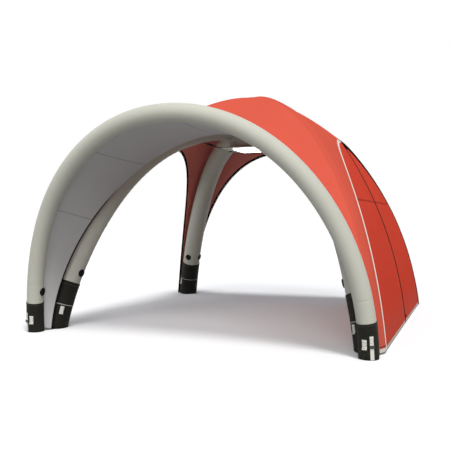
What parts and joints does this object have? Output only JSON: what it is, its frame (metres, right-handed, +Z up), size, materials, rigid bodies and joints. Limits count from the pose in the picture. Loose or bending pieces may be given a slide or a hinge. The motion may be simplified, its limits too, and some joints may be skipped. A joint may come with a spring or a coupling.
{
  "type": "inflatable event tent with tunnel porch",
  "caption": "Inflatable dome tent: air legs meet at a crown under a draped canopy with arched openings, a zipped side wall and a tunnel porch on its own air arch.",
  "frame": {"origin": "on the ground under the middle of the whole tent and porch", "axes": "+Z up, -Y towards the porch, +X towards the zipped side wall; the crown stands over x 0, y 0.361 m"},
  "size_m": [4.3566, 5.0762, 3.18],
  "materials": {
    "air_tube": "light grey coated polyester, satin",
    "porch_fabric": "light grey coated polyester, matt",
    "canopy_fabric": "coral red printed polyester, matt",
    "wall_fabric": "red printed polyester, matt",
    "boot_fabric": "black coated cordura, matt",
    "black_trim": "black woven tape and cord",
    "white_trim": "white coated tape",
    "webbing": "white woven webbing",
    "black_plastic": "black moulded plastic",
    "lamp_panel": "white opal diffuser, lit"
  },
  "bodies": {
    "tent": {"crown_chamber": "air_tube", "crown_panel": "air_tube", "lamp_panel": "lamp_panel", "leg_front_left": "air_tube", "boot_front_left": "boot_fabric", "valve_body_front_left": "black_plastic", "relief_body_front_left": "black_plastic", "webbing_front_left": "webbing", "leg_front_right": "air_tube", "boot_front_right": "boot_fabric", "valve_body_front_right": "black_plastic", "relief_body_front_right": "black_plastic", "webbing_front_right": "webbing", "leg_back_left": "air_tube", "boot_back_left": "boot_fabric", "valve_body_back_left": "black_plastic", "relief_body_back_left": "black_plastic", "webbing_back_left": "webbing", "leg_back_right": "air_tube", "boot_back_right": "boot_fabric", "valve_body_back_right": "black_plastic", "relief_body_back_right": "black_plastic", "webbing_back_right": "webbing", "canopy": "canopy_fabric", "piping_right": "white_trim", "piping_back": "black_trim", "piping_left": "black_trim", "piping_front": "black_trim", "wall_front_half": "wall_fabric", "wall_back_half": "wall_fabric", "zip_tape": "black_trim", "porch_arch": "air_tube", "porch_boot_left": "boot_fabric", "porch_boot_right": "boot_fabric", "porch_cover": "porch_fabric", "valve_body_porch": "black_plastic", "webbing_porch_left": "webbing", "anchor_strap_left": "webbing", "anchor_buckle_left": "black_plastic", "webbing_porch_right": "webbing", "anchor_strap_right": "webbing", "anchor_buckle_right": "black_plastic"},
    "valve_cap_front_left": {"valve_cap_front_left": "black_plastic"},
    "valve_cap_front_right": {"valve_cap_front_right": "black_plastic"},
    "valve_cap_back_left": {"valve_cap_back_left": "black_plastic"},
    "valve_cap_back_right": {"valve_cap_back_right": "black_plastic"},
    "valve_cap_porch": {"valve_cap_porch": "black_plastic"},
    "relief_plunger_front_left": {"relief_plunger_front_left": "black_plastic"},
    "relief_plunger_front_right": {"relief_plunger_front_right": "black_plastic"},
    "relief_plunger_back_left": {"relief_plunger_back_left": "black_plastic"},
    "relief_plunger_back_right": {"relief_plunger_back_right": "black_plastic"},
    "ring_front_left": {"ring_front_left": "black_plastic"},
    "ring_front_right": {"ring_front_right": "black_plastic"},
    "ring_back_left": {"ring_back_left": "black_plastic"},
    "ring_back_right": {"ring_back_right": "black_plastic"},
    "ring_porch_left": {"ring_porch_left": "black_plastic"},
    "ring_porch_right": {"ring_porch_right": "black_plastic"},
    "zip_slider": {"zip_slider": "black_plastic"},
    "zip_puller": {"zip_puller": "black_plastic"}
  },
  "joints": [
    {"name": "valve_cap_front_left_turn", "type": "hinge", "parent": "tent", "child": "valve_cap_front_left", "pos_m": [-1.84773, -1.48672, 0.735], "axis": [0.9652, -0.0709, -0.2519], "range_deg": [0, 90]},
    {"name": "valve_cap_front_right_turn", "type": "hinge", "parent": "tent", "child": "valve_cap_front_right", "pos_m": [1.84773, -1.48672, 0.735], "axis": [-0.9652, -0.0709, -0.2519], "range_deg": [0, 90]},
    {"name": "valve_cap_back_left_turn", "type": "hinge", "parent": "tent", "child": "valve_cap_back_left", "pos_m": [-1.84773, 2.20874, 0.735], "axis": [0.9652, 0.0709, -0.2519], "range_deg": [0, 90]},
    {"name": "valve_cap_back_right_turn", "type": "hinge", "parent": "tent", "child": "valve_cap_back_right", "pos_m": [1.84773, 2.20874, 0.735], "axis": [-0.9652, 0.0709, -0.2519], "range_deg": [0, 90]},
    {"name": "valve_cap_porch_turn", "type": "hinge", "parent": "tent", "child": "valve_cap_porch", "pos_m": [-2.01565, -2.02492, 0.513], "axis": [0.9747, 0.1913, -0.116], "range_deg": [0, 90]},
    {"name": "relief_plunger_front_left_lift", "type": "slide", "parent": "tent", "child": "relief_plunger_front_left", "axis": [-0.0709, 0.9652, -0.2519], "range_m": [0, 0.004], "stiffness_N_per_m": 50, "springref_m": -0.002},
    {"name": "relief_plunger_front_right_lift", "type": "slide", "parent": "tent", "child": "relief_plunger_front_right", "axis": [0.0709, 0.9652, -0.2519], "range_m": [0, 0.004], "stiffness_N_per_m": 50, "springref_m": -0.002},
    {"name": "relief_plunger_back_left_lift", "type": "slide", "parent": "tent", "child": "relief_plunger_back_left", "axis": [-0.0709, -0.9652, -0.2519], "range_m": [0, 0.004], "stiffness_N_per_m": 50, "springref_m": -0.002},
    {"name": "relief_plunger_back_right_lift", "type": "slide", "parent": "tent", "child": "relief_plunger_back_right", "axis": [0.0709, -0.9652, -0.2519], "range_m": [0, 0.004], "stiffness_N_per_m": 50, "springref_m": -0.002},
    {"name": "ring_front_left_swing", "type": "hinge", "parent": "tent", "child": "ring_front_left", "pos_m": [-1.85388, -1.72773, 0.19432], "axis": [-0.674, -0.698, 0.2419], "range_deg": [-0.2, 145]},
    {"name": "ring_front_right_swing", "type": "hinge", "parent": "tent", "child": "ring_front_right", "pos_m": [1.85388, -1.72773, 0.19432], "axis": [-0.674, 0.698, -0.2419], "range_deg": [-0.2, 145]},
    {"name": "ring_back_left_swing", "type": "hinge", "parent": "tent", "child": "ring_back_left", "pos_m": [-2.09069, 2.2168, 0.195], "axis": [-0.6861, 0.6861, 0.2419], "range_deg": [0, 150]},
    {"name": "ring_back_right_swing", "type": "hinge", "parent": "tent", "child": "ring_back_right", "pos_m": [2.09069, 2.2168, 0.195], "axis": [-0.6861, -0.6861, -0.2419], "range_deg": [0, 150]},
    {"name": "ring_porch_left_swing", "type": "hinge", "parent": "tent", "child": "ring_porch_left", "pos_m": [-2.02563, -2.09141, 0.11006], "axis": [-0.9781, -0.2079, 0.011], "range_deg": [-4.9, 145]},
    {"name": "ring_porch_right_swing", "type": "hinge", "parent": "tent", "child": "ring_porch_right", "pos_m": [2.02563, -2.09141, 0.11006], "axis": [-0.9781, 0.2079, -0.011], "range_deg": [-4.9, 145]},
    {"name": "zip_slider_run", "type": "hinge", "parent": "tent", "child": "zip_slider", "pos_m": [-3.05536, 0.36101, -0.46067], "axis": [0, -1, 0], "range_deg": [0, 26]},
    {"name": "zip_puller_swing", "type": "hinge", "parent": "zip_slider", "child": "zip_puller", "pos_m": [2.17456, 0.36101, 0.11136], "axis": [0, -1, 0], "range_deg": [0, 140]}
  ]
}
